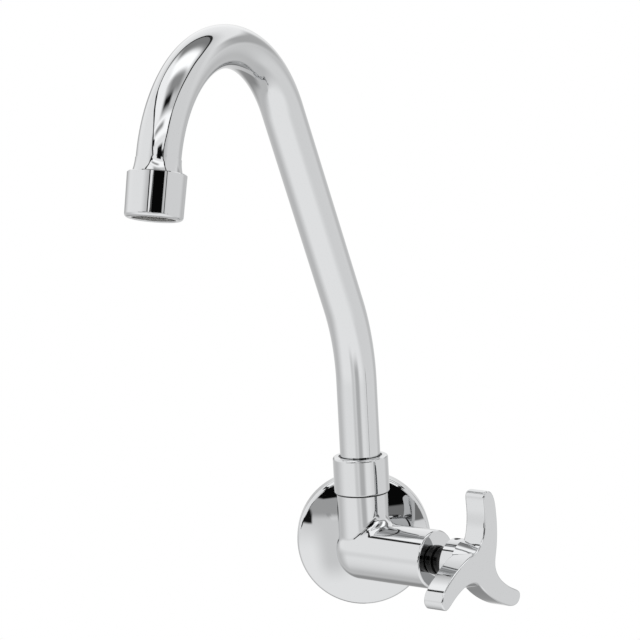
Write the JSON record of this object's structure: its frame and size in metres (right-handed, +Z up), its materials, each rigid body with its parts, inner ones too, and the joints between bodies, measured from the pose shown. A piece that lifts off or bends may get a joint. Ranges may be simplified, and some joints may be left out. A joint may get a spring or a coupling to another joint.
{
  "type": "wall-mounted sink tap",
  "caption": "Wall-mounted cold-water sink tap with a domed wall flange, a swivelling gooseneck spout with an aerator, and a star handle on an angled quarter-turn valve.",
  "frame": {"origin": "centre of the flange's wall face, on the axis of the inlet thread", "axes": "+Z up, +Y into the wall along the inlet thread, -Y out over the sink, +X to the right of someone who faces the wall"},
  "size_m": [0.1655, 0.2103, 0.2892],
  "materials": {
    "chromed_brass": "polished chrome plate on brass",
    "chromed_steel": "polished chrome plate on pressed sheet",
    "chromed_tube": "polished chrome plate on drawn tube",
    "chromed_zinc": "polished chrome plate on a die casting",
    "bare_brass": "turned, not plated",
    "stainless_steel": "turned",
    "steel_mesh": "perforated sheet",
    "black_rubber": "moulded",
    "black_nylon": "moulded",
    "black_moulding": "glossy moulding",
    "white_acetal": "moulded",
    "white_ceramic": "lapped"
  },
  "bodies": {
    "fixed": {"valve_body": "chromed_brass", "wall_flange": "chromed_steel", "flange_ring": "black_rubber", "spout_nut": "chromed_brass", "swivel_bush": "black_nylon", "thrust_washer": "white_acetal", "bonnet_cap": "chromed_brass", "cartridge_body": "black_moulding", "cartridge_ring": "black_rubber", "inlet_seal": "black_rubber", "fixed_disc": "white_ceramic"},
    "spout": {"spout_tube": "chromed_tube", "spout_tail": "bare_brass", "tail_ring_lower": "black_rubber", "tail_ring_upper": "black_rubber", "outlet_ferrule": "chromed_brass", "aerator_housing": "chromed_brass", "aerator_washer": "black_rubber", "aerator_insert": "white_acetal", "aerator_screen": "steel_mesh"},
    "handle": {"handle": "chromed_zinc", "grub_screw": "stainless_steel", "spindle": "bare_brass", "spindle_ring": "black_rubber", "moving_disc": "white_ceramic"}
  },
  "joints": [
    {"name": "spout_swivel", "type": "hinge", "parent": "fixed", "child": "spout", "pos_m": [0, -0.031, 0.04], "axis": [0, 0, 1], "range_deg": [-59, 116]},
    {"name": "handle_turn", "type": "hinge", "parent": "fixed", "child": "handle", "pos_m": [0.03853, -0.06287, 0], "axis": [0.7705, -0.6374, 0], "range_deg": [0, 90]}
  ]
}
